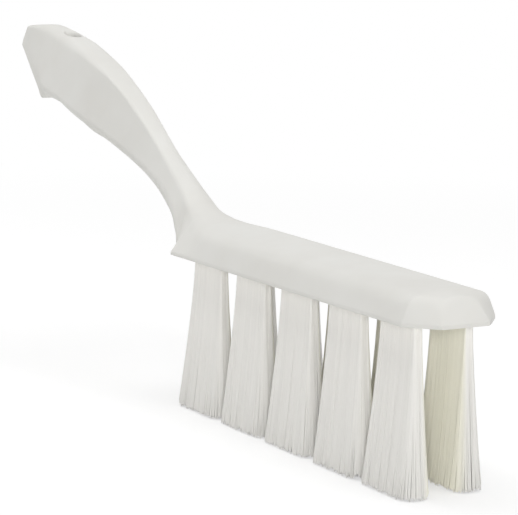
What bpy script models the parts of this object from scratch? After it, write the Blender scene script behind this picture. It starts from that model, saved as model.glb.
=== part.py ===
"""One-hand dusting brush: a moulded block and handle with two rows of fused bristle fans.

Frame: +X towards the block's free end, +Y to the far side, +Z up. The origin is the middle of the
whole brush's box, on the plane of the bristle tips. Lengths are in metres.
"""
import math
import random

import bmesh
import bpy
from mathutils import Vector

# Overall sizes
OVERALL_LENGTH = 0.331
BRISTLE_LENGTH = 0.0563

# Block
BLOCK_LENGTH = 0.1780
BLOCK_WIDTH = 0.0360
BLOCK_NECK_END_WIDTH = 0.0208
BLOCK_FREE_END_WIDTH = 0.0182
BLOCK_SIDE_SLOPE = 0.0034
BLOCK_END_SLOPE = 0.0036
BLOCK_THICKNESS_AT_NECK = 0.0110
BLOCK_THICKNESS_AT_END = 0.0089
BLOCK_CROWN = 0.0017
BLOCK_END_CROWN = 0.0004
BLOCK_RIM = 0.0012
BLOCK_CORNER_LENGTH = 0.0100
BLOCK_TOP_ROUND = 0.0034
BLOCK_EDGE_ROUND = 0.0004

# Handle
HANDLE_RISE = 0.0766
HANDLE_WIDTH = 0.0220
HANDLE_DEPTH = 0.0250
HANDLE_CROWN = 0.0004
HANDLE_EDGE_ROUND = 0.0009
BUTT_NOSE = 0.0092
BUTT_ROUND = 0.0011
NECK_FILLET_LENGTH = 0.0340
NECK_FILLET_RISE = 0.0056
NECK_TOP_WIDTH = 0.0122

# Hanging hole, straight down through the handle near its butt
HOLE_LENGTH = 0.0084
HOLE_WIDTH = 0.0050
HOLE_FROM_BUTT = 0.0367
HOLE_FLARE = 0.0010
HOLE_FLARE_DEPTH = 0.0016
HOLE_SIDES = 32

# Bristle fans
FANS_PER_ROW = 5
FAN_FROM_NECK_END = 0.0167
FAN_FROM_FREE_END = 0.0122
FAN_LENGTH = 0.0203
FAN_THICKNESS = 0.0031
FAN_ROW_SPACING = 0.0193
FAN_ROOT_DEPTH = 0.0050
FAN_TIP_LENGTH = 0.0288
FAN_TIP_CORNER = 0.0044
TIP_OUTER_REACH = 0.0161
TIP_INNER_REACH = 0.0062
FAN_LEAN_X = -0.0005
FAN_LEAN_Y = -0.0007
STRANDS_LONG = 10
STRANDS_THICK = 4
STRAND_GAP = 0.00034
STRAND_TIP_SIZE = 0.0011
TIP_SPREAD = 0.0003
TIP_RAGGEDNESS = 0.0011
TIP_FLAT_CUT = 0.0005

SEAT_CLEARANCE = 0.0003
CUT_OVERRUN = 0.0200

# Handle stations from the butt to the block: how far each lies from the block's end and how high, as
# shares of the handle's reach and rise, then its half widths at the top edge, the widest line and the
# underside as shares of the handle's width, and the widest line's and the underside's depths as
# shares of the handle's depth.
STATION_SHARES = (
    (0.964, 0.989, 0.310, 0.385, 1.149, 0.345, 1.289),
    (0.912, 0.995, 0.262, 0.440, 1.029, 0.340, 1.235),
    (0.846, 0.990, 0.238, 0.475, 0.961, 0.335, 1.163),
    (0.761, 0.961, 0.266, 0.495, 0.906, 0.330, 1.086),
    (0.682, 0.928, 0.275, 0.495, 0.880, 0.325, 1.060),
    (0.604, 0.879, 0.268, 0.490, 0.860, 0.320, 1.060),
    (0.531, 0.827, 0.262, 0.480, 0.800, 0.310, 1.030),
    (0.459, 0.770, 0.226, 0.470, 0.760, 0.305, 0.990),
    (0.387, 0.703, 0.205, 0.440, 0.660, 0.300, 0.880),
    (0.315, 0.623, 0.195, 0.400, 0.554, 0.280, 0.764),
    (0.247, 0.539, 0.174, 0.360, 0.442, 0.260, 0.642),
    (0.179, 0.447, 0.170, 0.330, 0.347, 0.240, 0.517),
    (0.112, 0.361, 0.194, 0.330, 0.278, 0.250, 0.448),
    (0.046, 0.279, 0.224, 0.385, 0.261, 0.330, 0.421),
    (0.020, 0.2435, 0.255, 0.438, 0.400, 0.402, 0.582),
)
# How far each station's section leans back from upright, in degrees.
STATION_LEANS = (
    -23.0, -17.0, -10.0, 0.0, 9.0, 16.0, 21.0, 25.0, 29.0, 32.0, 34.0, 34.0, 31.0, 17.0, 0.0,
)
RINGS_PER_STATION = 3
# How far up the handle the block's crown has faded into the handle's, as a share of its reach.
NECK_CROWN_SHARE = 0.25
# How much of the crown is left halfway from the ridge to the top edge.
CROWN_SHOULDER_SHARE = 0.75
# How much of the nose each point of the butt's end section takes, by its place in the half section.
NOSE_SHARES = ((4, 0.10), (5, 1.0), (6, 0.50))
# Where the two points between the top edge and the widest line lie, along the handle and at its end.
SIDE_SHARES = (0.33, 0.67)
NOSE_SIDE_SHARES = (0.20, 0.60)

# Plan of a block corner: how far along the corner, and how far from end width to full width.
CORNER_SHARES = ((0.0, 0.0), (0.10, 0.12), (0.35, 0.38), (0.65, 0.68), (0.90, 0.92), (1.0, 1.0))
NECK_FILLET_STEPS = 6
BLOCK_MIDDLE_STEPS = 6

# Surfaces that meet at more than this many degrees are shaded as an edge.
SHARP_ANGLE = 35.0

UNDERSIDE = BRISTLE_LENGTH
BLOCK_FREE_END = OVERALL_LENGTH / 2
BLOCK_NECK_END = BLOCK_FREE_END - BLOCK_LENGTH
HANDLE_REACH = OVERALL_LENGTH - BLOCK_LENGTH
FAN_RUN = BLOCK_LENGTH - FAN_FROM_NECK_END - FAN_FROM_FREE_END - FAN_LENGTH
FAN_PITCH = FAN_RUN / (FANS_PER_ROW - 1)


def clear_scene():
    """Removes every object that the file starts with."""
    for item in list(bpy.data.objects):
        bpy.data.objects.remove(item, do_unlink=True)


def make_material(name, colour, roughness):
    """A plain moulded plastic."""
    material = bpy.data.materials.new(name)
    material.use_nodes = True
    shader = material.node_tree.nodes["Principled BSDF"]
    shader.inputs["Base Color"].default_value = (*colour, 1.0)
    shader.inputs["Roughness"].default_value = roughness
    shader.inputs["Metallic"].default_value = 0.0
    return material


def add_object(name, mesh, material):
    """Links one named object with one material, shaded smooth but for its sharp edges."""
    item = bpy.data.objects.new(name, mesh)
    bpy.context.scene.collection.objects.link(item)
    mesh.materials.append(material)
    mesh.shade_smooth()
    mesh.set_sharp_from_angle(angle=math.radians(SHARP_ANGLE))
    return item


def mix(first, second, share):
    """The value a share of the way from the first to the second."""
    return first + (second - first) * share


def smooth_table(rows, steps):
    """Rows read off a smooth curve through the given rows, with so many steps between each pair."""
    result = []
    for index in range(len(rows) - 1):
        before = rows[max(index - 1, 0)]
        start = rows[index]
        end = rows[index + 1]
        after = rows[min(index + 2, len(rows) - 1)]
        for step in range(steps):
            share = step / steps
            row = []
            for b, s, e, a in zip(before, start, end, after):
                slope_in = (e - b) / 2
                slope_out = (a - s) / 2
                rise = (2 * s - 2 * e + slope_in + slope_out) * share**3
                bend = (3 * e - 3 * s - 2 * slope_in - slope_out) * share**2
                row.append(rise + bend + slope_in * share + s)
            result.append(tuple(row))
    result.append(tuple(rows[-1]))
    return result


def round_corner(before, corner, after, radius, points):
    """Points on a curve that rounds one corner of a section, two or three of them."""
    into = corner - before
    out = after - corner
    reach = min(radius, into.length / 2, out.length / 2)
    start = corner - into.normalized() * reach
    end = corner + out.normalized() * reach
    if points == 2:
        return [start, end]
    return [start, (start + end) / 4 + corner / 2, end]


def half_section(top, wide, low, crown, rounds, side_shares=SIDE_SHARES):
    """Half a section from its top middle to its underside middle, as places across and down.

    top, wide and low are the corners at the top edge, the widest line and the underside.
    """
    top, wide, low = Vector(top), Vector(wide), Vector(low)
    ridge = Vector((0, top.y - crown))
    shoulder = Vector((top.x / 2, top.y - crown * CROWN_SHOULDER_SHARE))
    keel = Vector((0, low.y))
    points = [ridge, shoulder]
    points += round_corner(shoulder, top, wide, rounds[0], 3)
    side = round_corner(top, wide, low, rounds[1], 2)
    points += [points[-1].lerp(side[0], share) for share in side_shares]
    points += side
    points += round_corner(wide, low, keel, rounds[2], 3)
    points.append(keel)
    return points


def handle_ring(row, nose=0.0):
    """Half a handle section in space; the nose pushes part of its side towards the butt."""
    along, rise, top_share, wide_share, wide_depth_share, low_share, depth_share, lean = row
    origin = Vector((BLOCK_NECK_END - along * HANDLE_REACH, 0, UNDERSIDE + rise * HANDLE_RISE))
    angle = math.radians(lean)
    down = Vector((-math.sin(angle), 0, -math.cos(angle)))
    back = Vector((-math.cos(angle), 0, math.sin(angle)))
    crown = mix(BLOCK_CROWN, HANDLE_CROWN, min(along / NECK_CROWN_SHARE, 1.0))
    section = half_section(
        (top_share * HANDLE_WIDTH, 0),
        (wide_share * HANDLE_WIDTH, wide_depth_share * HANDLE_DEPTH),
        (low_share * HANDLE_WIDTH, depth_share * HANDLE_DEPTH),
        crown,
        (HANDLE_EDGE_ROUND, HANDLE_EDGE_ROUND * 2, HANDLE_EDGE_ROUND),
        NOSE_SIDE_SHARES if nose else SIDE_SHARES,
    )
    out = [0.0] * len(section)
    for index, share in NOSE_SHARES:
        out[index] = nose * share
    return [origin + Vector((0, p.x, 0)) + down * p.y + back * o for p, o in zip(section, out)]


def shrink_ring(ring, amount, shift):
    """The same half ring drawn in towards its middle and moved along X, for a rounded end."""
    middle_z = (ring[0].z + ring[-1].z) / 2
    half = (ring[0].z - ring[-1].z) / 2
    result = []
    for place in ring:
        y = place.y * (1 - amount / (HANDLE_WIDTH / 2))
        z = middle_z + (place.z - middle_z) * (1 - amount / half)
        result.append(Vector((place.x + shift, y, z)))
    return result


def handle_rings():
    """Every half ring of the handle from the rounded butt end to the foot of the neck."""
    rows = [shares + (lean,) for shares, lean in zip(STATION_SHARES, STATION_LEANS)]
    table = smooth_table(rows, RINGS_PER_STATION)
    first = handle_ring(table[0], BUTT_NOSE)
    gap = -OVERALL_LENGTH / 2 - min(place.x for place in first)
    first = [place + Vector((gap, 0, 0)) for place in first]
    rings = [shrink_ring(first, BUTT_ROUND, 0.0)]
    rings.append(shrink_ring(first, 0.0, BUTT_ROUND))
    for row in table[1:]:
        rings.append(handle_ring(row))
    return rings


def block_ring(x, half_width, thickness, top_half, top_shift, lift, crown):
    """Half a block section at one place along the block; only its upper part takes the shift."""
    full = thickness + lift
    section = half_section(
        (top_half, 0),
        (half_width, full - BLOCK_RIM),
        (half_width, full),
        crown,
        (BLOCK_TOP_ROUND, BLOCK_RIM / 2, BLOCK_EDGE_ROUND),
    )
    top_z = UNDERSIDE + full
    ring = []
    for p in section:
        share = min(max((full - BLOCK_RIM - p.y) / (full - BLOCK_RIM), 0.0), 1.0)
        ring.append(Vector((x + top_shift * share, p.x, top_z - p.y)))
    return ring


def block_places():
    """Places along the block: where, half width, how far the top is drawn back, and the crown."""
    full_half = BLOCK_WIDTH / 2
    places = []
    for along, out in CORNER_SHARES:
        half_width = mix(BLOCK_NECK_END_WIDTH / 2, full_half, out)
        places.append((BLOCK_NECK_END + along * BLOCK_CORNER_LENGTH, half_width, 0.0, BLOCK_CROWN))
    start = BLOCK_NECK_END + BLOCK_CORNER_LENGTH
    fillet_end = BLOCK_NECK_END + NECK_FILLET_LENGTH
    for step in range(1, NECK_FILLET_STEPS + 1):
        places.append((mix(start, fillet_end, step / NECK_FILLET_STEPS), full_half, 0.0, BLOCK_CROWN))
    corner = BLOCK_FREE_END - BLOCK_CORNER_LENGTH
    for step in range(1, BLOCK_MIDDLE_STEPS):
        places.append((mix(fillet_end, corner, step / BLOCK_MIDDLE_STEPS), full_half, 0.0, BLOCK_CROWN))
    for along, out in reversed(CORNER_SHARES):
        half_width = mix(BLOCK_FREE_END_WIDTH / 2, full_half, out)
        x = BLOCK_FREE_END - along * BLOCK_CORNER_LENGTH
        crown = mix(BLOCK_END_CROWN, BLOCK_CROWN, along)
        places.append((x, half_width, -BLOCK_END_SLOPE * (1 - along), crown))
    return places


def block_rings():
    """Every half ring of the block from its neck end to its free end."""
    rings = []
    for x, half_width, shift, crown in block_places():
        share = (x - BLOCK_NECK_END) / BLOCK_LENGTH
        thickness = mix(BLOCK_THICKNESS_AT_NECK, BLOCK_THICKNESS_AT_END, share)
        run = min((x - BLOCK_NECK_END) / NECK_FILLET_LENGTH, 1.0)
        lift = NECK_FILLET_RISE * (1 - run) ** 3
        full_top = half_width - BLOCK_SIDE_SLOPE
        spread = run * run * (3 - 2 * run)
        top_half = min(mix(NECK_TOP_WIDTH / 2, full_top, spread), full_top)
        rings.append(block_ring(x, half_width, thickness, top_half, shift, lift, crown))
    return rings


def skin_rings(mesh, rings):
    """Closes half rings and their mirror images into one skin, capped at both ends."""
    loops = []
    for ring in rings:
        near = [mesh.verts.new(Vector((p.x, -p.y, p.z))) for p in ring[1:-1]]
        far = [mesh.verts.new(p) for p in ring]
        loops.append(far + near[::-1])
    count = len(loops[0])
    for first, second in zip(loops, loops[1:]):
        for index in range(count):
            after = (index + 1) % count
            mesh.faces.new((first[index], first[after], second[after], second[index]))
    half = count // 2
    levels = [0] + list(range(2, half - 1)) + [half]
    for loop in (loops[0], loops[-1]):
        for upper, lower in zip(levels, levels[1:]):
            mirrored = [loop[(count - index) % count] for index in range(lower, upper - 1, -1)]
            mesh.faces.new(list(dict.fromkeys(loop[upper:lower + 1] + mirrored)))
    bmesh.ops.recalc_face_normals(mesh, faces=mesh.faces)


def add_cutter(name, build):
    """A hidden cutter object made by a function that fills a mesh."""
    mesh = bpy.data.meshes.new(name)
    shape = bmesh.new()
    build(shape)
    bmesh.ops.recalc_face_normals(shape, faces=shape.faces)
    shape.to_mesh(mesh)
    shape.free()
    item = bpy.data.objects.new(name, mesh)
    bpy.context.scene.collection.objects.link(item)
    item.hide_render = True
    item.display_type = "WIRE"
    return item


def add_box(shape, centre, size):
    """A box by its middle and its full size."""
    made = bmesh.ops.create_cube(shape, size=1.0)
    bmesh.ops.scale(shape, vec=Vector(size), verts=made["verts"])
    bmesh.ops.translate(shape, vec=Vector(centre), verts=made["verts"])


def fan_places():
    """The name, the root's middle on the block's underside and the side of each bristle fan."""
    first = BLOCK_NECK_END + FAN_FROM_NECK_END + FAN_LENGTH / 2
    places = []
    for side, row in ((-1, "near"), (1, "far")):
        for index in range(FANS_PER_ROW):
            centre = Vector((first + index * FAN_PITCH, side * FAN_ROW_SPACING / 2, UNDERSIDE))
            places.append((f"tuft_{row}_{index + 1}", centre, side))
    return places


def cut_sockets(shape):
    """The ten sockets in the block's underside that hold the fans' roots."""
    depth = FAN_ROOT_DEPTH + SEAT_CLEARANCE
    for _, centre, _ in fan_places():
        size = (
            FAN_LENGTH + 2 * SEAT_CLEARANCE,
            FAN_THICKNESS + 2 * SEAT_CLEARANCE,
            depth + CUT_OVERRUN,
        )
        add_box(shape, centre + Vector((0, 0, (depth - CUT_OVERRUN) / 2)), size)


def handle_height_at(x):
    """The handle's top and underside heights in the middle plane at one place along X."""
    rows = [shares + (lean,) for shares, lean in zip(STATION_SHARES, STATION_LEANS)]
    rings = [handle_ring(row) for row in smooth_table(rows, RINGS_PER_STATION)]
    tops = sorted((ring[0].x, ring[0].z) for ring in rings)
    lows = sorted((ring[-1].x, ring[-1].z) for ring in rings)
    heights = []
    for line in (tops, lows):
        for (x0, z0), (x1, z1) in zip(line, line[1:]):
            if x0 <= x <= x1:
                heights.append(mix(z0, z1, (x - x0) / (x1 - x0)))
                break
    return heights


def cut_hole(shape):
    """The oval hanging hole, flared where it leaves the top and the underside."""
    x = -OVERALL_LENGTH / 2 + HOLE_FROM_BUTT
    top, low = handle_height_at(x)
    overrun = HOLE_FLARE * (HOLE_FLARE_DEPTH + CUT_OVERRUN) / HOLE_FLARE_DEPTH
    outline = (
        (overrun, top + CUT_OVERRUN),
        (0.0, top - HOLE_FLARE_DEPTH),
        (0.0, low + HOLE_FLARE_DEPTH),
        (overrun, low - CUT_OVERRUN),
    )
    loops = []
    for grow, z in outline:
        loop = []
        for side in range(HOLE_SIDES):
            angle = 2 * math.pi * side / HOLE_SIDES
            across = (HOLE_LENGTH / 2 + grow) * math.cos(angle), (HOLE_WIDTH / 2 + grow) * math.sin(angle)
            loop.append(shape.verts.new((x + across[0], across[1], z)))
        loops.append(loop)
    for first, second in zip(loops, loops[1:]):
        for side in range(HOLE_SIDES):
            after = (side + 1) % HOLE_SIDES
            shape.faces.new((first[side], first[after], second[after], second[side]))
    shape.faces.new(loops[0])
    shape.faces.new(loops[-1][::-1])


def make_body(material):
    """The block and handle as one moulding, cut by the sockets and the hanging hole."""
    mesh = bpy.data.meshes.new("brush_body")
    shape = bmesh.new()
    skin_rings(shape, handle_rings() + block_rings())
    shape.to_mesh(mesh)
    shape.free()
    body = add_object("brush_body", mesh, material)
    for name, build in (("socket_cutter", cut_sockets), ("hole_cutter", cut_hole)):
        modifier = body.modifiers.new(name, "BOOLEAN")
        modifier.operation = "DIFFERENCE"
        modifier.solver = "EXACT"
        modifier.object = add_cutter(name, build)
    return body


def tip_place(i, j, side):
    """Where the strand in one cell of the root ends, inside the tips' rounded outline."""
    half_tip = STRAND_TIP_SIZE / 2
    half_thick = (TIP_OUTER_REACH - TIP_INNER_REACH) / 2
    y = mix(half_tip - half_thick, half_thick - half_tip, j / (STRANDS_THICK - 1))
    beyond = max(abs(y) - half_thick + FAN_TIP_CORNER, 0.0)
    cut_back = FAN_TIP_CORNER - math.sqrt(FAN_TIP_CORNER**2 - beyond**2)
    reach = FAN_TIP_LENGTH / 2 - half_tip - cut_back
    x = mix(-reach, reach, i / (STRANDS_LONG - 1))
    middle = (TIP_INNER_REACH + TIP_OUTER_REACH - FAN_ROW_SPACING) / 2
    return x + FAN_LEAN_X, y + side * middle + FAN_LEAN_Y


def fill_fan(shape, side, chance):
    """One fan: a root slab whose lower face grows into a grid of four-sided strands.

    The strands end at uneven heights, and those that reach the floor are cut flat on it.
    """
    lines_x = [FAN_LENGTH * (i / STRANDS_LONG - 0.5) for i in range(STRANDS_LONG + 1)]
    lines_y = [FAN_THICKNESS * (j / STRANDS_THICK - 0.5) for j in range(STRANDS_THICK + 1)]
    grid = [[shape.verts.new((x, y, 0)) for y in lines_y] for x in lines_x]
    roof = [[shape.verts.new((x, y, FAN_ROOT_DEPTH)) for y in (lines_y[0], lines_y[-1])]
            for x in (lines_x[0], lines_x[-1])]
    low_y = [column[0] for column in grid]
    high_y = [column[-1] for column in grid]
    shape.faces.new(low_y + [roof[1][0], roof[0][0]])
    shape.faces.new(high_y + [roof[1][1], roof[0][1]])
    shape.faces.new(grid[0] + [roof[0][1], roof[0][0]])
    shape.faces.new(grid[-1] + [roof[1][1], roof[1][0]])
    shape.faces.new((roof[0][0], roof[1][0], roof[1][1], roof[0][1]))
    inset = STRAND_GAP / 2
    half_tip = STRAND_TIP_SIZE / 2
    for i in range(STRANDS_LONG):
        for j in range(STRANDS_THICK):
            corners = (grid[i][j], grid[i + 1][j], grid[i + 1][j + 1], grid[i][j + 1])
            x0, x1 = lines_x[i] + inset, lines_x[i + 1] - inset
            y0, y1 = lines_y[j] + inset, lines_y[j + 1] - inset
            root = [shape.verts.new((x, y, 0)) for x, y in ((x0, y0), (x1, y0), (x1, y1), (x0, y1))]
            x, y = tip_place(i, j, side)
            x += chance.uniform(-TIP_SPREAD, TIP_SPREAD)
            y += chance.uniform(-TIP_SPREAD, TIP_SPREAD)
            z = max(chance.uniform(-TIP_FLAT_CUT, TIP_RAGGEDNESS), 0.0) - BRISTLE_LENGTH
            ends = ((-1, -1), (1, -1), (1, 1), (-1, 1))
            tip = [shape.verts.new((x + dx * half_tip, y + dy * half_tip, z)) for dx, dy in ends]
            for k in range(4):
                n = (k + 1) % 4
                shape.faces.new((corners[k], corners[n], root[n], root[k]))
                shape.faces.new((root[k], root[n], tip[n], tip[k]))
            shape.faces.new(tip)
    bmesh.ops.recalc_face_normals(shape, faces=shape.faces)


def make_fans(material):
    """The ten bristle fans, each in its socket."""
    for number, (name, centre, side) in enumerate(fan_places()):
        mesh = bpy.data.meshes.new(name)
        shape = bmesh.new()
        fill_fan(shape, side, random.Random(number))
        shape.to_mesh(mesh)
        shape.free()
        fan = add_object(name, mesh, material)
        fan.location = centre


def main():
    clear_scene()
    make_body(make_material("white_polypropylene", (0.80, 0.80, 0.77), 0.45))
    make_fans(make_material("white_bristle", (0.78, 0.77, 0.70), 0.50))


main()
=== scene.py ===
"""The dusting brush as it looks: one white moulding and ten dense fans of fused bristles.

Frame: +X towards the block's free end, +Y to the far side, +Z up. The bristle tips are on z = 0.
Lengths are in metres.
"""

import math
import random

import bmesh
import bpy
from mathutils import Matrix, Vector
from mathutils import noise as smooth_field


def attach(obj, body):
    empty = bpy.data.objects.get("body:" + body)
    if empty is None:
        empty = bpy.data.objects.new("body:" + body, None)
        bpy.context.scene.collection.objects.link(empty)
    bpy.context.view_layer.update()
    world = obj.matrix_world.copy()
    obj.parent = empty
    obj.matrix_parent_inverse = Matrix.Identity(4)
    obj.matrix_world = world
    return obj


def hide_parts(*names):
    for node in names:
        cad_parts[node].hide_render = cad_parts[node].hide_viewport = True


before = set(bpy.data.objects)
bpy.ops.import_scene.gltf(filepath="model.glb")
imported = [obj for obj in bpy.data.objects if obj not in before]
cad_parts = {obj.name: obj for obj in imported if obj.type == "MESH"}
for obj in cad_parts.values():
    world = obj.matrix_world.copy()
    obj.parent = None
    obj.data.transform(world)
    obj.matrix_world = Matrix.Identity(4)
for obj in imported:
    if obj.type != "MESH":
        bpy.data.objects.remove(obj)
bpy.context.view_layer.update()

# Block and handle
OVERALL_LENGTH = 0.331
BRISTLE_LENGTH = 0.0563
BLOCK_LENGTH = 0.1780
BLOCK_WIDTH = 0.0360
BLOCK_NECK_END_WIDTH = 0.0208
BLOCK_FREE_END_WIDTH = 0.0182
BLOCK_SIDE_SLOPE = 0.0034
BLOCK_END_SLOPE = 0.0036
BLOCK_THICKNESS_AT_NECK = 0.0110
BLOCK_THICKNESS_AT_END = 0.0089
BLOCK_CROWN = 0.0017
BLOCK_END_CROWN = 0.0004
BLOCK_RIM = 0.0012
BLOCK_CORNER_LENGTH = 0.0100
BLOCK_TOP_ROUND = 0.0034
BLOCK_EDGE_ROUND = 0.0004
BLOCK_END_ROUND = 0.0016
HANDLE_RISE = 0.0766
HANDLE_WIDTH = 0.0220
HANDLE_DEPTH = 0.0250
HANDLE_CROWN = 0.0004
HANDLE_EDGE_ROUND = 0.0008
HANDLE_SIDE_ROUND = 0.0032
BUTT_EDGE_ROUND = 0.0036
BUTT_END_EDGE_ROUND = 0.0014
NECK_EDGE_ROUND = 0.0012
BUTT_ROUND = 0.0009
NECK_FILLET_LENGTH = 0.0340
NECK_FILLET_RISE = 0.0056
NECK_TOP_WIDTH = 0.0122
HOLE_LENGTH = 0.0084
HOLE_WIDTH = 0.0050
HOLE_FROM_BUTT = 0.0367
HOLE_FLARE = 0.0013
HOLE_FLARE_DEPTH = 0.0050
HOLE_CUTTER_GROWTH = 3

# Bristle fans
FANS_PER_ROW = 5
FAN_FROM_NECK_END = 0.0167
FAN_FROM_FREE_END = 0.0122
FAN_LENGTH = 0.0203
FAN_THICKNESS = 0.0031
FAN_ROW_SPACING = 0.0193
FAN_ROOT_DEPTH = 0.0050
TIP_OUTER_REACH = 0.0161
TIP_INNER_REACH = 0.0052
FAN_LEAN_Y = -0.0007
# How long each fan is at its tips and how far it leans along X, the near row first.
FAN_TIPS = (
    (0.0318, 0.0011), (0.0308, 0.0016), (0.0308, 0.0018), (0.0302, 0.0024), (0.0296, 0.0009),
    (0.0292, -0.0005), (0.0292, -0.0005), (0.0292, -0.0005), (0.0292, -0.0005), (0.0288, -0.0001),
)
SEAT_CLEARANCE = 0.00003

# Handle stations from the butt to the block: how far each lies from the block's end and how high, as
# shares of the handle's reach and rise, then its half widths at the top edge, the widest line and the
# underside as shares of the handle's width, and the widest line's and the underside's depths as
# shares of the handle's depth.
STATION_SHARES = (
    (0.964, 0.989, 0.310, 0.385, 1.149, 0.345, 1.289),
    (0.912, 0.995, 0.262, 0.440, 1.029, 0.340, 1.235),
    (0.846, 0.990, 0.238, 0.475, 0.961, 0.335, 1.163),
    (0.761, 0.961, 0.266, 0.495, 0.906, 0.330, 1.086),
    (0.682, 0.928, 0.275, 0.495, 0.880, 0.325, 1.060),
    (0.604, 0.879, 0.268, 0.490, 0.860, 0.320, 1.060),
    (0.531, 0.827, 0.262, 0.480, 0.800, 0.310, 1.030),
    (0.459, 0.770, 0.226, 0.470, 0.760, 0.305, 0.990),
    (0.387, 0.703, 0.205, 0.440, 0.660, 0.300, 0.880),
    (0.315, 0.623, 0.195, 0.400, 0.554, 0.280, 0.764),
    (0.247, 0.539, 0.174, 0.360, 0.442, 0.260, 0.642),
    (0.179, 0.447, 0.170, 0.330, 0.347, 0.240, 0.517),
    (0.112, 0.361, 0.194, 0.330, 0.278, 0.250, 0.448),
    (0.046, 0.279, 0.224, 0.385, 0.261, 0.330, 0.421),
    (0.020, 0.2435, 0.255, 0.438, 0.400, 0.402, 0.582),
)
# How far each station's section leans from upright, in degrees.
STATION_LEANS = (
    -23.0, -17.0, -10.0, 0.0, 9.0, 16.0, 21.0, 25.0, 29.0, 32.0, 34.0, 34.0, 31.0, 17.0, 0.0,
)
# How far from the block, as a share of the handle's reach, the block's crown runs out.
NECK_CROWN_SHARE = 0.25
# The largest share of the top's half width that its round edge may take.
TOP_ROUND_LIMIT = 0.62
# The share by which the bevel under the handle's widest line is narrower here than in the solids, and
# where along the handle that sets in from the neck and from the butt.
BEVEL_CUT = 0.40
BEVEL_NECK_SPAN = (0.08, 0.30)
BEVEL_BUTT_SPAN = (0.94, 0.78)
# Where the rounding of the top edge changes: along the handle towards the butt, at the butt's end and
# at the neck, and along the block from the neck.
BUTT_ROUND_SPAN = (0.42, 0.76)
BUTT_END_SPAN = (0.86, 0.96)
NECK_ROUND_SPAN = (0.08, 0.0)
BLOCK_ROUND_SPAN = (0.0, 0.09)
# The block's tapered corners: how far along each place lies, and how far out, as shares.
CORNER_SHARES = ((0.0, 0.0), (0.10, 0.12), (0.35, 0.38), (0.65, 0.68), (0.90, 0.92), (1.0, 1.0))
# The slanted faces of the butt's end: heights above the block's underside, and how far each lies in
# from the end of the brush.
BUTT_OUTLINE = ((0.0455, 0.0213), (0.0499, 0.0200), (0.0677, 0.0), (0.0757, 0.0052))

# How finely the moulding is made. The first BUTT_RINGS rings blend the butt's end into the handle, and
# the butt's round end takes the place of those before BUTT_FIRST_RING.
RINGS_PER_STATION = 8
BUTT_FIRST_RING = 2
BUTT_RINGS = 16
CORNER_STEPS = 3
FILLET_STEPS = 22
MIDDLE_STEPS = 14
CROWN_POINTS = 4
TOP_ROUND_POINTS = 8
WIDE_ROUND_POINTS = 9
LOW_ROUND_POINTS = 5
SIDE_SHARES = (0.1, 0.2, 0.3, 0.42, 0.54, 0.66, 0.78, 0.9)
BUTT_SIDE_SHARES = (0.10, 0.20, 0.30, 0.38, 0.48, 0.60, 0.74, 0.88)
BUTT_ROUND_STEPS = 4
END_ROUND_STEPS = 5
HOLE_SIDES = 64
HOLE_FLARE_STEPS = 5
CUT_OVERRUN = 0.0200
MOULDING_SHARP_DEGREES = 38

# How the bristles are made. A fan's outline has round corners at its tips and its root. In it are shells
# of strands, each given as the spacing at the tips and how far it lies inside the outline at the tips
# and at the root, and in those a core of looser strands with its own spacing and insets.
TIP_CORNER = 0.0044
ROOT_CORNER = 0.0004
SHELLS = ((0.00034, 0.0, 0.0), (0.00044, 0.00042, 0.00014), (0.00056, 0.00090, 0.00030))
CORE_SPACING = 0.00074
CORE_INSET = (0.00150, 0.00050)
STRAND_SIDES = 5
CORE_SIDES = 4
STRAND_STEPS = 6
STRAND_ROOT_RADIUS = 0.00021
STRAND_TIP_RADIUS = 0.00019
STRAND_FLARE = 1.35
STRAND_BOW = 0.00012
STRAND_SHARP_DEGREES = 80
# How far strands may lie from an even spacing, as a share of it.
SHELL_JITTER = 0.3
CORE_JITTER = 0.4
# Neighbours lean together into clumps, from a share of their length on.
CLUMP_SIZES = (2, 3, 3, 4, 6)
CLUMP_START = 0.70
CLUMP_EASE = 1.5
CLUMP_PULL = 0.18
# A few strands end within TIP_SHORT of the floor; the others end above it along a wave with ragged ends.
TIP_LONG_SHARE = 0.08
TIP_SHORT = 0.00035
TIP_SCATTER = 0.00012
TIP_RAGGEDNESS = 0.0010
TIP_WAVE = 0.0011
TIP_WAVE_LEVEL = 0.3
TIP_WAVE_SIZES = (0.0009, 0.0030)
TIP_WAVE_LAYER = 5.0
# How far the tones of clumps and of single strands differ from the middle tone.
MIDDLE_TONE = 0.5
CLUMP_TONE = 0.2
STRAND_TONE = 0.3
BEAD_DEPTH = 0.0006
FIRST_SEED = 100

UNDERSIDE = BRISTLE_LENGTH
BLOCK_FREE_END = OVERALL_LENGTH / 2
BLOCK_NECK_END = BLOCK_FREE_END - BLOCK_LENGTH
HANDLE_REACH = OVERALL_LENGTH - BLOCK_LENGTH
FAN_RUN = BLOCK_LENGTH - FAN_FROM_NECK_END - FAN_FROM_FREE_END - FAN_LENGTH
FAN_PITCH = FAN_RUN / (FANS_PER_ROW - 1)

# The camera of the photograph: its angles in degrees, and where the frame's origin lies to its side,
# above it and in front of it, in units of CAMERA_UNIT metres. Then the camera is shifted along X.
IMAGE_WIDTH = 518
SENSOR = 36.0
FOCAL_PIXELS = 2312.58
CAMERA_AZIMUTH = 60.678
CAMERA_ELEVATION = 9.030
CAMERA_ROLL = 0.830
CAMERA_SIDE = -0.467796
CAMERA_UP = -1.686966
CAMERA_DEPTH = 27.070427
CAMERA_UNIT = 0.0322
CAMERA_SHIFT_X = 0.00345
CAMERA_CLIP = (0.05, 20.0)

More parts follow.
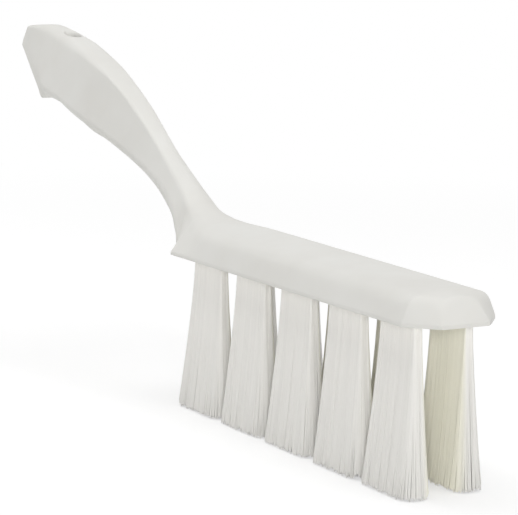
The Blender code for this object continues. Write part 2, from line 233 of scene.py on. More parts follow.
# The moulding's skin: its colours, and its noises as features per metre and detail
PLASTIC_DARK = (0.735, 0.725, 0.690)
PLASTIC_LIGHT = (0.775, 0.770, 0.740)
PLASTIC_CLOUD_SPAN = (0.30, 0.70)
PLASTIC_CLOUDS = (38.0, 3.0)
PLASTIC_PATCHES = (160.0, 4.0)
PLASTIC_GRAIN = (2200.0, 2.0)
PLASTIC_GRAIN_STRENGTH = 0.06
PLASTIC_GRAIN_DEPTH = 0.0002
PLASTIC_ROUGHNESS = (0.46, 0.58)
PLASTIC_SPECULAR = 0.12
PLASTIC_IOR = 1.49

# The filaments' colours from root to tip, their painted glow inside the rows, and how their tone scales
# them
FILAMENT_ROOT = (0.94, 0.925, 0.89)
FILAMENT_TIP = (0.825, 0.815, 0.785)
# A yellow light painted on the rows' inner sides, which stands in for light shining through the bristles
# into their shade
FILAMENT_PAINTED_GLOW = (0.98, 0.96, 0.835)
FILAMENT_PAINTED_GLOW_SPAN = (0.60, 1.0)
FILAMENT_PAINTED_GLOW_SHARE = 0.9
FILAMENT_TONES = (0.965, 1.02)
FILAMENT_ROUGHNESS = 0.50
FILAMENT_SPECULAR = 0.25
FILAMENT_IOR = 1.49

# The floor shows as its own glow and the light on it, which make FLOOR_WHITE where no shadow falls. Its
# shadows fade out to plain white over a span of distances from the brush.
FLOOR_HALF_SIZE = 4.0
FLOOR_COLOUR = (0.88, 0.88, 0.87)
FLOOR_GLOW = 0.55
FLOOR_WHITE = 1.08
FLOOR_FADE = (0.30, 0.75)

# The white room's light, and the lamps: the direction to each from the target, then its distance in
# metres, its width in metres and its power in watts
WHITE = (1, 1, 1, 1)
ROOM_STRENGTH = 0.15
LAMP_TARGET = (0, 0, 0.06)
LAMPS = (
    ("top", (0.0, 0.0, 1.0), 1.5, 1.5, 18.1),
    ("front", (0.861, -0.483, 0.157), 2.5, 0.8, 22.3),
    ("end", (0.8, 0.5, 0.35), 1.5, 1.0, 3.6),
    ("left", (-0.9, -0.5, 0.3), 1.5, 1.0, 5.4),
)


def mix(first, second, share):
    """The value a share of the way from the first to the second."""
    return first + (second - first) * share


def smooth_table(rows, steps):
    """Rows read off a smooth curve through the given rows, with so many steps between each pair."""
    result = []
    for index in range(len(rows) - 1):
        before = rows[max(index - 1, 0)]
        start = rows[index]
        end = rows[index + 1]
        after = rows[min(index + 2, len(rows) - 1)]
        for step in range(steps):
            share = step / steps
            row = []
            for b, s, e, a in zip(before, start, end, after):
                slope_in = (e - b) / 2
                slope_out = (a - s) / 2
                rise = (2 * s - 2 * e + slope_in + slope_out) * share**3
                bend = (3 * e - 3 * s - 2 * slope_in - slope_out) * share**2
                row.append(rise + bend + slope_in * share + s)
            result.append(tuple(row))
    result.append(tuple(rows[-1]))
    return result


def curve_points(start, corner, end, count):
    """Points on a curve that leaves one place for the corner and turns to the other place."""
    result = []
    for index in range(count):
        t = index / (count - 1)
        result.append(start * (1 - t) ** 2 + corner * 2 * t * (1 - t) + end * t**2)
    return result


def round_corner(before, corner, after, radius, count):
    """Points on a curve that rounds one corner of a section."""
    into = corner - before
    out = after - corner
    reach = min(radius, into.length / 2, out.length / 2)
    start = corner - into.normalized() * reach
    end = corner + out.normalized() * reach
    return curve_points(start, corner, end, count)


def half_section(top, wide, low, crown, rounds, side_shares):
    """Half a section from its top middle to its underside middle."""
    top, wide, low = Vector(top), Vector(wide), Vector(low)
    keel = Vector((0, low.y))
    flat = 1 - min(rounds[0], top.x * TOP_ROUND_LIMIT) / top.x
    points = []
    for index in range(CROWN_POINTS + 2):
        share = flat * index / (CROWN_POINTS + 1)
        points.append(Vector((top.x * share, top.y - crown * (1 - share**2))))
    start = points.pop()
    end = top + (wide - top).normalized() * min(rounds[0], (wide - top).length / 2)
    points += curve_points(start, top, end, TOP_ROUND_POINTS)
    side = round_corner(top, wide, low, rounds[1], WIDE_ROUND_POINTS)
    points += [end.lerp(side[0], share) for share in side_shares]
    points += side
    points += round_corner(wide, low, keel, rounds[2], LOW_ROUND_POINTS)
    points += [points[-1].lerp(keel, 0.5), keel]
    return points


def share_at(table, place):
    """The second value of a table of pairs at one place along its first."""
    for (p0, s0), (p1, s1) in zip(table, table[1:]):
        if p0 <= place <= p1:
            return mix(s0, s1, (place - p0) / (p1 - p0))
    return table[-1][1]


def smooth_share(value, start, end):
    """How far a value has come from the start to the end, easing out of one and into the other."""
    share = min(max((value - start) / (end - start), 0.0), 1.0)
    return share * share * (3 - 2 * share)


def edge_round(along):
    """How round the handle's top edge is at one place along it."""
    radius = mix(HANDLE_EDGE_ROUND, BUTT_EDGE_ROUND, smooth_share(along, *BUTT_ROUND_SPAN))
    radius = mix(radius, BUTT_END_EDGE_ROUND, smooth_share(along, *BUTT_END_SPAN))
    return mix(radius, NECK_EDGE_ROUND, smooth_share(along, *NECK_ROUND_SPAN))


def handle_ring(row, side_shares=SIDE_SHARES):
    """Half a handle section in space."""
    along, rise, top_share, wide_share, wide_depth_share, low_share, depth_share, lean = row
    origin = Vector((BLOCK_NECK_END - along * HANDLE_REACH, 0, UNDERSIDE + rise * HANDLE_RISE))
    angle = math.radians(lean)
    down = Vector((-math.sin(angle), 0, -math.cos(angle)))
    crown = mix(BLOCK_CROWN, HANDLE_CROWN, min(along / NECK_CROWN_SHARE, 1.0))
    cut = BEVEL_CUT * smooth_share(along, *BEVEL_NECK_SPAN) * smooth_share(along, *BEVEL_BUTT_SPAN)
    wide_depth_share = mix(wide_depth_share, depth_share, cut)
    section = half_section(
        (top_share * HANDLE_WIDTH, 0),
        (wide_share * HANDLE_WIDTH, wide_depth_share * HANDLE_DEPTH),
        (low_share * HANDLE_WIDTH, depth_share * HANDLE_DEPTH),
        crown,
        (edge_round(along), HANDLE_SIDE_ROUND, HANDLE_EDGE_ROUND),
        side_shares,
    )
    return [origin + Vector((0, p.x, 0)) + down * p.y for p in section]


def butt_ring(row):
    """The handle's first half section, drawn out to the slanted faces of the butt's end."""
    ring = handle_ring(row, BUTT_SIDE_SHARES)
    insets = [share_at(BUTT_OUTLINE, place.z - UNDERSIDE) for place in ring]
    start = -OVERALL_LENGTH / 2 - min(insets)
    return [Vector((start + inset, place.y, place.z)) for place, inset in zip(ring, insets)]


def shrink_ring(ring, amount, shift):
    """The same half ring drawn in towards its middle and moved along X, for a rounded end."""
    middle_z = (ring[0].z + ring[-1].z) / 2
    half = (ring[0].z - ring[-1].z) / 2
    result = []
    for place in ring:
        y = place.y * (1 - amount / (HANDLE_WIDTH / 2))
        z = middle_z + (place.z - middle_z) * (1 - amount / half)
        result.append(Vector((place.x + shift, y, z)))
    return result


def station_table():
    """The handle's stations with their leans, and the smooth rows between them."""
    rows = [shares + (lean,) for shares, lean in zip(STATION_SHARES, STATION_LEANS)]
    return smooth_table(rows, RINGS_PER_STATION)


def handle_rings():
    """Every half ring of the handle from the rounded butt end to the foot of the neck."""
    table = station_table()
    first = butt_ring(table[0])
    last = handle_ring(table[BUTT_RINGS])
    rings = []
    for step in range(BUTT_ROUND_STEPS + 1):
        turn = math.pi / 2 * step / BUTT_ROUND_STEPS
        amount = BUTT_ROUND * (1 - math.sin(turn))
        rings.append(shrink_ring(first, amount, BUTT_ROUND * (1 - math.cos(turn))))
    for number in range(BUTT_FIRST_RING, BUTT_RINGS):
        share = number / BUTT_RINGS
        side_shares = [mix(a, b, share) for a, b in zip(BUTT_SIDE_SHARES, SIDE_SHARES)]
        ring = handle_ring(table[number], side_shares)
        places = [mix(start.x + BUTT_ROUND, end.x, share) for start, end in zip(first, last)]
        rings.append([Vector((x, place.y, place.z)) for x, place in zip(places, ring)])
    return rings + [handle_ring(row) for row in table[BUTT_RINGS:]]


def block_ring(x, half_width, thickness, top_half, top_shift, lift, crown, edge):
    """Half a block section at one place along the block. Its top takes the whole shift, its rim none."""
    full = thickness + lift
    section = half_section(
        (top_half, 0),
        (half_width, full - BLOCK_RIM),
        (half_width, full),
        crown,
        (edge, BLOCK_RIM / 2, BLOCK_EDGE_ROUND),
        SIDE_SHARES,
    )
    top_z = UNDERSIDE + full
    ring = []
    for p in section:
        share = max((full - BLOCK_RIM - p.y) / (full - BLOCK_RIM), 0.0)
        ring.append(Vector((x + top_shift * share, p.x, top_z - p.y)))
    return ring


def block_places():
    """Places along the block: each one's X and half width, how far its top is drawn back and lowered,
    and its crown.
    """
    full_half = BLOCK_WIDTH / 2
    corner_shares = smooth_table(CORNER_SHARES, CORNER_STEPS)
    places = []
    for along, out in corner_shares:
        half_width = mix(BLOCK_NECK_END_WIDTH / 2, full_half, out)
        places.append((BLOCK_NECK_END + along * BLOCK_CORNER_LENGTH, half_width, 0.0, 0.0, BLOCK_CROWN))
    start = BLOCK_NECK_END + BLOCK_CORNER_LENGTH
    fillet_end = BLOCK_NECK_END + NECK_FILLET_LENGTH
    for step in range(1, FILLET_STEPS + 1):
        places.append((mix(start, fillet_end, step / FILLET_STEPS), full_half, 0.0, 0.0, BLOCK_CROWN))
    corner = BLOCK_FREE_END - BLOCK_CORNER_LENGTH
    for step in range(1, MIDDLE_STEPS):
        places.append((mix(fillet_end, corner, step / MIDDLE_STEPS), full_half, 0.0, 0.0, BLOCK_CROWN))
    round_share = BLOCK_END_ROUND / BLOCK_CORNER_LENGTH
    ends = [(along, 0.0) for along, _ in reversed(corner_shares) if along > round_share]
    for step in range(END_ROUND_STEPS + 1):
        turn = math.pi / 2 * step / END_ROUND_STEPS
        ends.append((round_share * (1 - math.sin(turn)), BLOCK_END_ROUND * (1 - math.cos(turn))))
    for along, drop in ends:
        half_width = mix(BLOCK_FREE_END_WIDTH / 2, full_half, share_at(corner_shares, along))
        x = BLOCK_FREE_END - along * BLOCK_CORNER_LENGTH
        crown = mix(BLOCK_END_CROWN, BLOCK_CROWN, along)
        shift = -BLOCK_END_SLOPE * (1 - along) * (1 - drop / (BLOCK_THICKNESS_AT_END - BLOCK_RIM))
        places.append((x, half_width, shift, drop, crown))
    return places


def block_rings():
    """Every half ring of the block from its neck end to its free end."""
    rings = []
    for x, half_width, shift, drop, crown in block_places():
        share = (x - BLOCK_NECK_END) / BLOCK_LENGTH
        thickness = mix(BLOCK_THICKNESS_AT_NECK, BLOCK_THICKNESS_AT_END, share) - drop
        run = min((x - BLOCK_NECK_END) / NECK_FILLET_LENGTH, 1.0)
        lift = NECK_FILLET_RISE * (1 - run) ** 3
        full_top = half_width - BLOCK_SIDE_SLOPE
        spread = smooth_share(run, 0.0, 1.0)
        top_half = min(mix(NECK_TOP_WIDTH / 2, full_top, spread), full_top)
        edge = mix(NECK_EDGE_ROUND, BLOCK_TOP_ROUND, smooth_share(share, *BLOCK_ROUND_SPAN))
        rings.append(block_ring(x, half_width, thickness, top_half, shift, lift, crown, edge))
    return rings


def skin_rings(mesh, rings):
    """Closes half rings and their mirror images into one skin, capped at both ends."""
    loops = []
    for ring in rings:
        near = [mesh.verts.new(Vector((p.x, -p.y, p.z))) for p in ring[1:-1]]
        far = [mesh.verts.new(p) for p in ring]
        loops.append(far + near[::-1])
    count = len(loops[0])
    for first, second in zip(loops, loops[1:]):
        for index in range(count):
            after = (index + 1) % count
            mesh.faces.new((first[index], first[after], second[after], second[index])).smooth = True
    half = count // 2
    # The end caps are strips from side to side. The points nearest the middle share one, above and below.
    levels = [0] + list(range(2, half - 2)) + [half]
    for loop in (loops[0], loops[-1]):
        for upper, lower in zip(levels, levels[1:]):
            mirrored = [loop[(count - index) % count] for index in range(lower, upper - 1, -1)]
            mesh.faces.new(list(dict.fromkeys(loop[upper:lower + 1] + mirrored)))
    bmesh.ops.recalc_face_normals(mesh, faces=mesh.faces)


def fan_places():
    """The CAD name, the root's middle on the block's underside and the side of each bristle fan."""
    first = BLOCK_NECK_END + FAN_FROM_NECK_END + FAN_LENGTH / 2
    places = []
    for side, row in ((-1, "near"), (1, "far")):
        for index in range(FANS_PER_ROW):
            centre = Vector((first + index * FAN_PITCH, side * FAN_ROW_SPACING / 2, UNDERSIDE))
            places.append((f"{row}_{index + 1}", centre, side))
    return places


def cut_sockets(shape):
    """The sockets in the block's underside that hold the fans' roots."""
    depth = FAN_ROOT_DEPTH + SEAT_CLEARANCE
    for _, centre, _ in fan_places():
        size = Vector((
            FAN_LENGTH + 2 * SEAT_CLEARANCE,
            FAN_THICKNESS + 2 * SEAT_CLEARANCE,
            depth + CUT_OVERRUN,
        ))
        made = bmesh.ops.create_cube(shape, size=1.0)
        bmesh.ops.scale(shape, vec=size, verts=made["verts"])
        middle = centre + Vector((0, 0, (depth - CUT_OVERRUN) / 2))
        bmesh.ops.translate(shape, vec=middle, verts=made["verts"])


def handle_height_at(x):
    """The handle's top and underside heights in the middle plane at one place along X."""
    rings = [handle_ring(row) for row in station_table()]
    heights = []
    for end in (0, -1):
        line = sorted((ring[end].x, ring[end].z) for ring in rings)
        for (x0, z0), (x1, z1) in zip(line, line[1:]):
            if x0 <= x <= x1:
                heights.append(mix(z0, z1, (x - x0) / (x1 - x0)))
                break
    return heights


def cut_hole(shape):
    """The oval hanging hole, with a rounded flare where it leaves the top and the underside."""
    x = -OVERALL_LENGTH / 2 + HOLE_FROM_BUTT
    heights = [handle_height_at(x + side * HOLE_LENGTH / 2) for side in (-1, 1)]
    top, low = [(first + second) / 2 for first, second in zip(*heights)]
    top_slope, low_slope = [(second - first) / HOLE_LENGTH for first, second in zip(*heights)]
    flare = [(HOLE_CUTTER_GROWTH * HOLE_FLARE, HOLE_FLARE_DEPTH)]
    for step in range(HOLE_FLARE_STEPS + 1):
        turn = math.pi / 2 * step / HOLE_FLARE_STEPS
        flare.append((HOLE_FLARE * (1 - math.sin(turn)), -HOLE_FLARE_DEPTH * (1 - math.cos(turn))))
    outline = [(grow, top + rise, top_slope) for grow, rise in flare]
    outline += [(grow, low - rise, low_slope) for grow, rise in reversed(flare)]
    loops = []
    for grow, z, slope in outline:
        loop = []
        for side in range(HOLE_SIDES):
            angle = 2 * math.pi * side / HOLE_SIDES
            out = (HOLE_LENGTH / 2 + grow) * math.cos(angle)
            across = (HOLE_WIDTH / 2 + grow) * math.sin(angle)
            loop.append(shape.verts.new((x + out, across, z + slope * out)))
        loops.append(loop)
    for first, second in zip(loops, loops[1:]):
        for side in range(HOLE_SIDES):
            after = (side + 1) % HOLE_SIDES
            shape.faces.new((first[side], first[after], second[after], second[side])).smooth = True
    shape.faces.new(loops[0])
    shape.faces.new(loops[-1][::-1])


def new_object(name, shape):
    """An object made from a bmesh, linked to the scene."""
    mesh = bpy.data.meshes.new(name)
    shape.to_mesh(mesh)
    shape.free()
    item = bpy.data.objects.new(name, mesh)
    bpy.context.scene.collection.objects.link(item)
    return item


def make_moulding():
    """The block and handle, cut by the sockets and the hanging hole."""
    shape = bmesh.new()
    skin_rings(shape, handle_rings() + block_rings())
    body = new_object("moulding", shape)
    cutters = []
    for name, build in (("socket_cutter", cut_sockets), ("hole_cutter", cut_hole)):
        shape = bmesh.new()
        build(shape)
        bmesh.ops.recalc_face_normals(shape, faces=shape.faces)
        cutter = new_object(name, shape)
        cutters.append(cutter)
        modifier = body.modifiers.new(name, "BOOLEAN")
        modifier.operation = "DIFFERENCE"
        modifier.solver = "EXACT"
        modifier.object = cutter
    depsgraph = bpy.context.evaluated_depsgraph_get()
    cut = bpy.data.meshes.new_from_object(body.evaluated_get(depsgraph))
    body.modifiers.clear()
    body.data = cut
    for cutter in cutters:
        bpy.data.objects.remove(cutter, do_unlink=True)
    cut.set_sharp_from_angle(angle=math.radians(MOULDING_SHARP_DEGREES))
    return body


def strand_path(root, tip, pull, bow):
    """Places down one strand: it flares from its root, bows a little and leans into its clump."""
    path = []
    for step in range(STRAND_STEPS + 1):
        t = step / STRAND_STEPS
        out = t**STRAND_FLARE
        lean = max((t - CLUMP_START) / (1 - CLUMP_START), 0.0) ** CLUMP_EASE
        bend = math.sin(math.pi * t) * t
        path.append((
            mix(root[0], tip[0], out) + pull[0] * lean + bow[0] * bend,
            mix(root[1], tip[1], out) + pull[1] * lean + bow[1] * bend,
            mix(root[2], tip[2], t),
        ))
    return path


class Strands:
    """The points, faces and tints of one fan."""

    def __init__(self):
        self.points = []
        self.faces = []
        self.tints = {"tone": [], "down": [], "inner_glow": []}

    def add_point(self, place, tone, down, inner_glow):
        """One point with its tints."""
        self.points.append(place)
        for key, value in (("tone", tone), ("down", down), ("inner_glow", inner_glow)):
            self.tints[key].append(value)

    def add_tube(self, sides, count):
        """Faces that join the last rings of points, so many with so many sides, into a closed tube."""
        first = len(self.points) - sides * count
        for ring in range(count - 1):
            for side in range(sides):
                a = first + ring * sides + side
                b = first + ring * sides + (side + 1) % sides
                self.faces.append((b, a, a + sides, b + sides))
        last = len(self.points) - 1
        self.faces.append(tuple(range(first, first + sides)))
        self.faces.append(tuple(range(last, last - sides, -1)))

    def add_strand(self, path, tone, inner_glow, turn, sides):
        """One closed, tapered strand along a path."""
        for step, (x, y, z) in enumerate(path):
            down = step / (len(path) - 1)
            radius = mix(STRAND_ROOT_RADIUS, STRAND_TIP_RADIUS, down)
            for side in range(sides):
                angle = turn + 2 * math.pi * side / sides
                place = (x + radius * math.cos(angle), y + radius * math.sin(angle), z)
                self.add_point(place, tone, down, inner_glow)
        self.add_tube(sides, len(path))

    def add_root(self):
        """The fused root that fills the socket and stands a little proud of the underside."""
        corners = ((-1, -1), (1, -1), (1, 1), (-1, 1))
        levels = ((FAN_ROOT_DEPTH, 0.0), (0.0, 0.0), (-BEAD_DEPTH, -BEAD_DEPTH / 2))
        for z, grow in levels:
            for x, y in corners:
                place = (x * (FAN_LENGTH / 2 + grow), y * (FAN_THICKNESS / 2 + grow), z)
                self.add_point(place, MIDDLE_TONE, 0.0, 0.5)
        self.add_tube(len(corners), len(levels))

    def to_object(self, name, centre):
        """The fan as an object in its place."""
        mesh = bpy.data.meshes.new(name)
        mesh.from_pydata(self.points, [], self.faces)
        for key, values in self.tints.items():
            mesh.attributes.new(key, "FLOAT", "POINT").data.foreach_set("value", values)
        mesh.transform(Matrix.Translation(centre))
        mesh.shade_smooth()
        mesh.set_sharp_from_angle(angle=math.radians(STRAND_SHARP_DEGREES))
        item = bpy.data.objects.new(name, mesh)
        bpy.context.scene.collection.objects.link(item)
        return item


def outline_counts(half_x, half_y, radius, spacing):
    """How many strands stand along each straight and each corner of a rounded outline."""
    lengths = (2 * (half_x - radius), math.pi / 2 * radius, 2 * (half_y - radius))
    return [max(round(length / spacing), 1) for length in lengths]


def outline_places(half_x, half_y, radius, shares):
    """Places on a rounded outline, given as pairs of part and share. The parts run round it in turn: a
    straight has its two ends, and a corner its middle and first angle.
    """
    flat_x, flat_y = half_x - radius, half_y - radius
    parts = (
        ((-flat_x, -half_y), (flat_x, -half_y)),
        (flat_x, -flat_y, -90),
        ((half_x, -flat_y), (half_x, flat_y)),
        (flat_x, flat_y, 0),
        ((flat_x, half_y), (-flat_x, half_y)),
        (-flat_x, flat_y, 90),
        ((-half_x, flat_y), (-half_x, -flat_y)),
        (-flat_x, -flat_y, 180),
    )
    places = []
    for number, share in shares:
        part = parts[number]
        if len(part) == 2:
            places.append((mix(part[0][0], part[1][0], share), mix(part[0][1], part[1][1], share)))
        else:
            angle = math.radians(part[2] + 90 * share)
            places.append((part[0] + radius * math.cos(angle), part[1] + radius * math.sin(angle)))
    return places


def shell_strands(tip_length, spacing, tip_inset, root_inset, chance):
    """The root and tip places of one closed shell of strands."""
    tip_sizes = (tip_length, TIP_OUTER_REACH - TIP_INNER_REACH)
    root_sizes = (FAN_LENGTH, FAN_THICKNESS)
    tip = [size / 2 - STRAND_TIP_RADIUS - tip_inset for size in tip_sizes]
    root = [size / 2 - STRAND_ROOT_RADIUS - root_inset for size in root_sizes]
    along, corner, across = outline_counts(*tip, TIP_CORNER - tip_inset, spacing)
    shares = []
    for number, count in enumerate((along, corner, across, corner) * 2):
        for index in range(count):
            jitter = chance.uniform(-SHELL_JITTER, SHELL_JITTER)
            shares.append((number, (index + 0.5 + jitter) / count))
    roots = outline_places(*root, ROOT_CORNER, shares)
    tips = outline_places(*tip, TIP_CORNER - tip_inset, shares)
    return list(zip(roots, tips))


def core_strands(tip_length, chance):
    """The root and tip places of the loose strands inside a fan's shells."""
    half_x = tip_length / 2 - CORE_INSET[0]
    half_y = (TIP_OUTER_REACH - TIP_INNER_REACH) / 2 - CORE_INSET[0]
    radius = TIP_CORNER - CORE_INSET[0]
    squeeze_x = (FAN_LENGTH / 2 - CORE_INSET[1]) / half_x
    squeeze_y = (FAN_THICKNESS / 2 - CORE_INSET[1]) / half_y
    strands = []
    rows = int(half_y / CORE_SPACING)
    columns = int(half_x / CORE_SPACING)
    for row in range(-rows, rows + 1):
        for column in range(-columns, columns + 1):
            x = (column + chance.uniform(-CORE_JITTER, CORE_JITTER)) * CORE_SPACING
            y = (row + chance.uniform(-CORE_JITTER, CORE_JITTER)) * CORE_SPACING
            out = math.hypot(max(abs(x) - half_x + radius, 0), max(abs(y) - half_y + radius, 0))
            if out <= radius:
                strands.append(((x * squeeze_x, y * squeeze_y), (x, y)))
    return strands


def tip_rise(x, y, chance):
    """How far one strand ends above the floor: neighbours are trimmed alike, and a few are longer."""
    if chance.random() < TIP_LONG_SHARE:
        return chance.random() * TIP_SHORT
    small, large = TIP_WAVE_SIZES
    wave = smooth_field.noise(Vector((x / small, y / large, 0.0)))
    wave += smooth_field.noise(Vector((x / large, y / small, TIP_WAVE_LAYER)))
    trimmed = TIP_SHORT + max(TIP_WAVE_LEVEL + wave, 0.0) * TIP_WAVE
    return trimmed + chance.random() ** 2 * TIP_RAGGEDNESS


def clumps_of(strands, chance):
    """Neighbouring strands in small groups, one group at a time, so that random draws keep their turn."""
    clump = []
    for strand in strands:
        clump.append(strand)
        if len(clump) >= chance.choice(CLUMP_SIZES) or strand == strands[-1]:
            yield clump
            clump = []


def make_fan(name, centre, side, number):
    """One fan of fine strands: fused at the root, dense down its faces and uneven at the tips."""
    chance = random.Random(FIRST_SEED + number)
    fan = Strands()
    fan.add_root()
    shift = side * ((TIP_INNER_REACH + TIP_OUTER_REACH) / 2 - FAN_ROW_SPACING / 2)
    half_y = (TIP_OUTER_REACH - TIP_INNER_REACH) / 2
    tip_length, lean = FAN_TIPS[number]
    groups = [(shell_strands(tip_length, *shell, chance), STRAND_SIDES) for shell in SHELLS]
    groups.append((core_strands(tip_length, chance), CORE_SIDES))
    for strands, sides in groups:
        for clump in clumps_of(strands, chance):
            middle = [sum(tip[axis] for _, tip in clump) / len(clump) for axis in (0, 1)]
            clump_tone = chance.uniform(-1, 1)
            for (root_x, root_y), (tip_x, tip_y) in clump:
                rise = tip_rise(tip_x + centre.x, tip_y + centre.y, chance)
                pull = [
                    (middle[0] - tip_x) * CLUMP_PULL + chance.uniform(-TIP_SCATTER, TIP_SCATTER),
                    (middle[1] - tip_y) * CLUMP_PULL + chance.uniform(-TIP_SCATTER, TIP_SCATTER),
                ]
                bow = [chance.uniform(-STRAND_BOW, STRAND_BOW) for _ in range(2)]
                tone = MIDDLE_TONE + CLUMP_TONE * clump_tone + chance.uniform(-STRAND_TONE, STRAND_TONE)
                # How far in towards the other row the strand stands, which sets how much painted glow it
                # gets
                inner_glow = 0.5 - side * tip_y / half_y / 2
                end = (tip_x + lean, tip_y + shift + FAN_LEAN_Y, rise - BRISTLE_LENGTH)
                path = strand_path((root_x, root_y, 0.0), end, pull, bow)
                fan.add_strand(path, tone, inner_glow, chance.uniform(0, 2 * math.pi), sides)
    return fan.to_object(f"bristles_{name}", centre)


def add_node(tree, kind, **values):
    """A shader node with its properties and unlinked inputs set."""
    node = tree.nodes.new(kind)
    for key, value in values.items():
        if hasattr(node, key):
            setattr(node, key, value)
        else:
            node.inputs[key.replace("_", " ")].default_value = value
    return node


def ramp_between(tree, source, low, high):
    """A colour ramp from one colour to another, driven by a value."""
    ramp = tree.nodes.new("ShaderNodeValToRGB")
    ramp.color_ramp.elements[0].color = (*low, 1.0)
    ramp.color_ramp.elements[1].color = (*high, 1.0)
    tree.links.new(source, ramp.inputs["Fac"])
    return ramp


def map_range(tree, source, to_span, from_span=(0.0, 1.0), kind="LINEAR"):
    """A value carried from one span to another."""
    node = tree.nodes.new("ShaderNodeMapRange")
    node.interpolation_type = kind
    keys = ("From Min", "From Max", "To Min", "To Max")
    for key, value in zip(keys, (*from_span, *to_span)):
        node.inputs[key].default_value = value
    tree.links.new(source, node.inputs["Value"])
    return node.outputs["Result"]


def noise(tree, vector, scale, detail):
    """A noise texture at a scale given in features per metre."""
    node = add_node(tree, "ShaderNodeTexNoise", Scale=scale, Detail=detail)
    tree.links.new(vector, node.inputs["Vector"])
    return node.outputs["Fac"]


def set_finish(shader, specular, ior):
    """The parts of a surface's finish that are the same all over."""
    shader.inputs["Specular IOR Level"].default_value = specular
    shader.inputs["IOR"].default_value = ior


def plastic_material():
    """White moulded polypropylene: faint clouding, a satin skin and a very fine texture."""
    material = bpy.data.materials.new("white_polypropylene_skin")
    material.use_nodes = True
    tree = material.node_tree
    shader = tree.nodes["Principled BSDF"]
    place = tree.nodes.new("ShaderNodeTexCoord").outputs["Object"]
    clouds = noise(tree, place, *PLASTIC_CLOUDS)
    colour = ramp_between(tree, clouds, PLASTIC_DARK, PLASTIC_LIGHT)
    for element, position in zip(colour.color_ramp.elements, PLASTIC_CLOUD_SPAN):
        element.position = position
    tree.links.new(colour.outputs["Color"], shader.inputs["Base Color"])
    rough = map_range(tree, noise(tree, place, *PLASTIC_PATCHES), PLASTIC_ROUGHNESS)
    tree.links.new(rough, shader.inputs["Roughness"])
    bump = add_node(
        tree, "ShaderNodeBump", Strength=PLASTIC_GRAIN_STRENGTH, Distance=PLASTIC_GRAIN_DEPTH,
    )
    tree.links.new(noise(tree, place, *PLASTIC_GRAIN), bump.inputs["Height"])
    tree.links.new(bump.outputs["Normal"], shader.inputs["Normal"])
    set_finish(shader, PLASTIC_SPECULAR, PLASTIC_IOR)
    return material


def bristle_material():
    """White polyester filament: whiter at the fused root, darker at the tips, with a yellow glow painted
    inside the rows.
    """
    material = bpy.data.materials.new("white_filament")
    material.use_nodes = True
    tree = material.node_tree
    shader = tree.nodes["Principled BSDF"]
    tone, down, inner_glow = [
        add_node(tree, "ShaderNodeAttribute", attribute_name=key).outputs["Fac"]
        for key in ("tone", "down", "inner_glow")
    ]
    along = ramp_between(tree, down, FILAMENT_ROOT, FILAMENT_TIP)
    # The mix paints a yellow glow on the rows' inner sides, for light that shines through the bristles
    # into their shade.
    # A mix node's colour sockets are its inputs 6 and 7 and its output 2.
    painted_glow = add_node(tree, "ShaderNodeMix", data_type="RGBA")
    painted_glow.inputs[7].default_value = (*FILAMENT_PAINTED_GLOW, 1.0)
    depth = map_range(tree, inner_glow, (0.0, FILAMENT_PAINTED_GLOW_SHARE), FILAMENT_PAINTED_GLOW_SPAN, "SMOOTHSTEP")
    tree.links.new(depth, painted_glow.inputs[0])
    tree.links.new(along.outputs["Color"], painted_glow.inputs[6])
    scaled = add_node(tree, "ShaderNodeVectorMath", operation="SCALE")
    tree.links.new(painted_glow.outputs[2], scaled.inputs[0])
    tree.links.new(map_range(tree, tone, FILAMENT_TONES), scaled.inputs["Scale"])
    tree.links.new(scaled.outputs["Vector"], shader.inputs["Base Color"])
    shader.inputs["Roughness"].default_value = FILAMENT_ROUGHNESS
    set_finish(shader, FILAMENT_SPECULAR, FILAMENT_IOR)
    return material


def white_for_rays(tree):
    """One where a ray comes from the camera, a reflection or a clear surface, and zero elsewhere."""
    rays = tree.nodes.new("ShaderNodeLightPath")
    first = add_node(tree, "ShaderNodeMath", operation="MAXIMUM")
    second = add_node(tree, "ShaderNodeMath", operation="MAXIMUM")
    tree.links.new(rays.outputs["Is Camera Ray"], first.inputs[0])
    tree.links.new(rays.outputs["Is Glossy Ray"], first.inputs[1])
    tree.links.new(first.outputs[0], second.inputs[0])
    tree.links.new(rays.outputs["Is Transmission Ray"], second.inputs[1])
    return second.outputs[0]


def make_world():
    """An even white surround that shows as white and lights the brush from all sides."""
    world = bpy.data.worlds.new("white_room")
    bpy.context.scene.world = world
    world.use_nodes = True
    tree = world.node_tree
    tree.nodes.clear()
    light = add_node(tree, "ShaderNodeBackground", Color=WHITE, Strength=ROOM_STRENGTH)
    shown = add_node(tree, "ShaderNodeBackground", Color=WHITE, Strength=1.0)
    choice = tree.nodes.new("ShaderNodeMixShader")
    output = tree.nodes.new("ShaderNodeOutputWorld")
    tree.links.new(white_for_rays(tree), choice.inputs["Fac"])
    tree.links.new(light.outputs[0], choice.inputs[1])
    tree.links.new(shown.outputs[0], choice.inputs[2])
    tree.links.new(choice.outputs[0], output.inputs["Surface"])


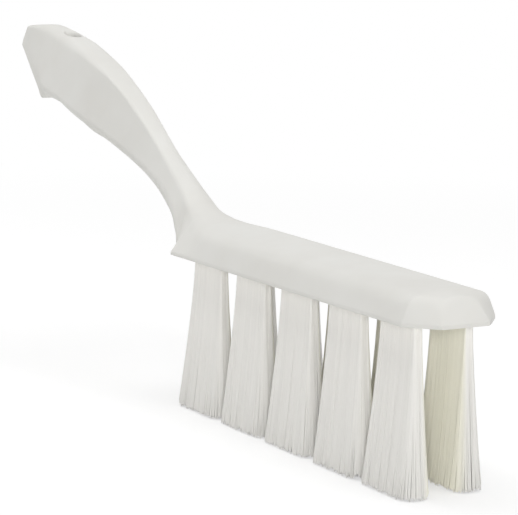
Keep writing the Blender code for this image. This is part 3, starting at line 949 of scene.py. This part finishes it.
def floor_material():
    """Matt white that shows as plain white, except where the brush's shadow falls near the brush."""
    material = bpy.data.materials.new("floor_white")
    material.use_nodes = True
    tree = material.node_tree
    tree.nodes.clear()
    matt = add_node(tree, "ShaderNodeBsdfDiffuse", Color=(*FLOOR_COLOUR, 1))
    glow = add_node(tree, "ShaderNodeEmission", Color=WHITE, Strength=FLOOR_GLOW)
    both = tree.nodes.new("ShaderNodeAddShader")
    pale = add_node(tree, "ShaderNodeBsdfDiffuse", Color=(FLOOR_WHITE - FLOOR_GLOW,) * 3 + (1,))
    white = add_node(tree, "ShaderNodeEmission", Color=WHITE, Strength=1.0)
    place = tree.nodes.new("ShaderNodeTexCoord")
    reach = add_node(tree, "ShaderNodeVectorMath", operation="LENGTH")
    fade = map_range(tree, reach.outputs["Value"], (0.0, 1.0), FLOOR_FADE, "SMOOTHSTEP")
    shown = tree.nodes.new("ShaderNodeMixShader")
    choice = tree.nodes.new("ShaderNodeMixShader")
    output = tree.nodes.new("ShaderNodeOutputMaterial")
    tree.links.new(place.outputs["Object"], reach.inputs[0])
    tree.links.new(glow.outputs[0], both.inputs[0])
    tree.links.new(pale.outputs[0], both.inputs[1])
    tree.links.new(fade, shown.inputs["Fac"])
    tree.links.new(both.outputs[0], shown.inputs[1])
    tree.links.new(white.outputs[0], shown.inputs[2])
    tree.links.new(white_for_rays(tree), choice.inputs["Fac"])
    tree.links.new(matt.outputs[0], choice.inputs[1])
    tree.links.new(shown.outputs[0], choice.inputs[2])
    tree.links.new(choice.outputs[0], output.inputs["Surface"])
    return material


def make_floor():
    """The floor under the bristle tips."""
    shape = bmesh.new()
    bmesh.ops.create_grid(shape, x_segments=1, y_segments=1, size=FLOOR_HALF_SIZE)
    floor = new_object("floor", shape)
    floor.data.materials.append(floor_material())


def add_lamp(name, direction, distance, size, power):
    """A square lamp that shines at the middle of the brush."""
    lamp = bpy.data.lights.new(name, "AREA")
    lamp.shape = "SQUARE"
    lamp.size = size
    lamp.energy = power
    item = bpy.data.objects.new(name, lamp)
    towards = Vector(direction).normalized()
    item.location = Vector(LAMP_TARGET) + towards * distance
    item.rotation_euler = (-towards).to_track_quat("-Z", "Y").to_euler()
    bpy.context.scene.collection.objects.link(item)


def make_camera():
    """The photograph's camera."""
    azimuth = math.radians(CAMERA_AZIMUTH)
    elevation = math.radians(CAMERA_ELEVATION)
    roll = math.radians(CAMERA_ROLL)
    look = Vector((
        -math.sin(azimuth) * math.cos(elevation),
        math.cos(azimuth) * math.cos(elevation),
        -math.sin(elevation),
    ))
    right = Vector((math.cos(azimuth), math.sin(azimuth), 0))
    up = right.cross(look)
    side = right * math.cos(roll) + up * math.sin(roll)
    top = up * math.cos(roll) - right * math.sin(roll)
    place = -(side * CAMERA_SIDE + top * CAMERA_UP + look * CAMERA_DEPTH) * CAMERA_UNIT
    place.x += CAMERA_SHIFT_X
    camera = bpy.data.cameras.new("photo_camera")
    camera.sensor_width = SENSOR
    camera.lens = FOCAL_PIXELS / IMAGE_WIDTH * SENSOR
    camera.clip_start, camera.clip_end = CAMERA_CLIP
    item = bpy.data.objects.new("photo_camera", camera)
    turn = Matrix((side, top, -look)).transposed().to_4x4()
    item.matrix_world = Matrix.Translation(place) @ turn
    bpy.context.scene.collection.objects.link(item)
    bpy.context.scene.camera = item


def main():
    """The brush's pieces, then the camera, the white room and the lamps."""
    plastic = plastic_material()
    filament = bristle_material()
    body = make_moulding()
    body.data.materials.clear()
    body.data.materials.append(plastic)
    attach(body, "root")
    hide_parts("brush_body")
    for number, (name, centre, side) in enumerate(fan_places()):
        fan = make_fan(name, centre, side, number)
        fan.data.materials.append(filament)
        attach(fan, "root")
        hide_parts(f"tuft_{name}")
    make_camera()
    make_world()
    make_floor()
    for lamp in LAMPS:
        add_lamp(*lamp)
    bpy.context.scene.view_settings.view_transform = "Standard"


main()
